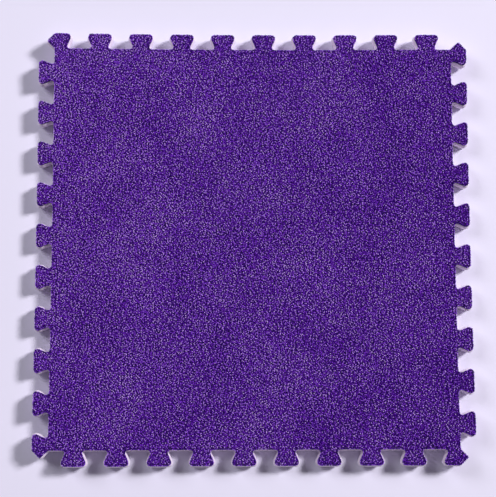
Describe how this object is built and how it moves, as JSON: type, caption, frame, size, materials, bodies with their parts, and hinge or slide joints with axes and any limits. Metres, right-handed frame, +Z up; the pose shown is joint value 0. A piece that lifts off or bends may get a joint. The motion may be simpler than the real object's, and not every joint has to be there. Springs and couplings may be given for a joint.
{
  "type": "interlocking foam floor mat",
  "caption": "Square interlocking mat: foam slab with a short cut pile on top, dovetail tabs along every side and a pointed tab at each corner.",
  "frame": {"origin": "centre of the foam's underside, on the floor", "axes": "+Z up, out of the pile; X and Y along the sides of the square body"},
  "size_m": [0.3234, 0.3234, 0.013],
  "materials": {
    "foam": "closed-cell EVA foam, near white with a faint pink-lilac cast, cut walls with fine cells",
    "bond_film": "thin milky hot-melt film",
    "backing_cloth": "fine knitted ground cloth, dark violet",
    "cut_pile": "short dense cut pile, violet, speckled light and dark where the fibre ends stand and lean"
  },
  "bodies": {
    "root": {"foam_base": "foam", "adhesive_film": "bond_film", "pile_backing": "backing_cloth", "plush_pile": "cut_pile"}
  },
  "joints": []
}
